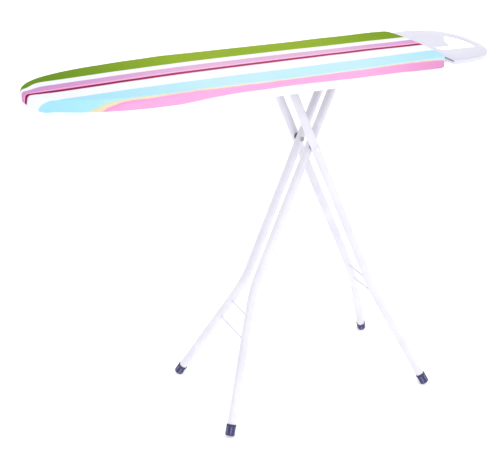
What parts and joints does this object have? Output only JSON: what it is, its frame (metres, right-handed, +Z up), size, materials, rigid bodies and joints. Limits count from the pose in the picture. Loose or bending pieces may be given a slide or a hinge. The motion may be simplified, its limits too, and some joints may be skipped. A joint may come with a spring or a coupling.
{
  "type": "ironing board",
  "caption": "Folding ironing board with a striped padded cover, an open steel iron rest at the tail and crossed tube legs that fold flat under it.",
  "frame": {"origin": "on the floor, under the middle of the whole object", "axes": "+X from the nose to the iron rest along the board, +Y across it to the left side, +Z up"},
  "size_m": [1.222, 0.3672, 0.948],
  "materials": {
    "cover_cotton": "woven cotton printed with wide lengthwise stripes in green, white, lilac, crimson, pale blue, pale yellow and pink",
    "foam": "soft off-white foam pad",
    "white_steel": "white powder coat with a faint orange-peel texture",
    "zinc_steel": "zinc plated, satin",
    "dark_plastic": "moulded, fine matte texture",
    "foot_rubber": "dark indigo, moulded with fine lengthwise ribs"
  },
  "bodies": {
    "board": {"cover": "cover_cotton", "foam_pad": "foam", "top_plate": "white_steel", "rim": "white_steel", "cross_bar_nose": "white_steel", "cross_bar_front": "white_steel", "cross_bar_middle": "white_steel", "cross_bar_tail": "white_steel", "iron_rest": "white_steel", "rest_arm_left": "white_steel", "rest_arm_right": "white_steel", "rest_screw_left": "zinc_steel", "rest_screw_right": "zinc_steel", "arm_screw_left": "zinc_steel", "arm_screw_right": "zinc_steel", "hinge_bracket": "white_steel", "hinge_pin": "zinc_steel", "guide_rail_left": "white_steel", "guide_rail_right": "white_steel", "lever_clip_front": "white_steel", "lever_clip_rear": "white_steel", "lever_spring": "zinc_steel"},
    "lever": {"lever_shaft": "zinc_steel", "catch_bar": "zinc_steel", "lever_arm": "zinc_steel", "lever_grip": "dark_plastic"},
    "inner_legs": {"inner_top_tube": "white_steel", "inner_leg_left": "white_steel", "inner_leg_right": "white_steel", "inner_foot_left": "foot_rubber", "inner_foot_right": "foot_rubber", "inner_rod_upper": "white_steel", "inner_rod_lower": "white_steel", "hinge_bush_left": "dark_plastic", "hinge_bush_right": "dark_plastic", "pivot_rivet_left": "zinc_steel", "pivot_rivet_right": "zinc_steel", "pivot_spacer_left": "dark_plastic", "pivot_spacer_right": "dark_plastic"},
    "outer_legs": {"outer_top_tube": "white_steel", "outer_leg_left": "white_steel", "outer_leg_right": "white_steel", "outer_foot_left": "foot_rubber", "outer_foot_right": "foot_rubber", "outer_rod_upper": "white_steel", "outer_rod_lower": "white_steel", "slide_pin_left": "dark_plastic", "slide_pin_right": "dark_plastic"}
  },
  "joints": [
    {"name": "leg_fold", "type": "hinge", "parent": "board", "child": "inner_legs", "pos_m": [0.1943, 0, 0.902], "axis": [0, 1, 0], "range_deg": [0, 60]},
    {"name": "leg_cross", "type": "hinge", "parent": "inner_legs", "child": "outer_legs", "pos_m": [0.1178, 0, 0.7226], "axis": [0, 1, 0], "range_deg": [-120, 0]},
    {"name": "lever_squeeze", "type": "hinge", "parent": "board", "child": "lever", "pos_m": [0, -0.04, 0.926], "axis": [1, 0, 0], "range_deg": [0, 8], "stiffness_Nm_per_rad": 4, "springref_deg": -5.73}
  ],
  "couplings": [
    {"joint": "leg_cross", "follows": "leg_fold", "ratio": -2}
  ]
}
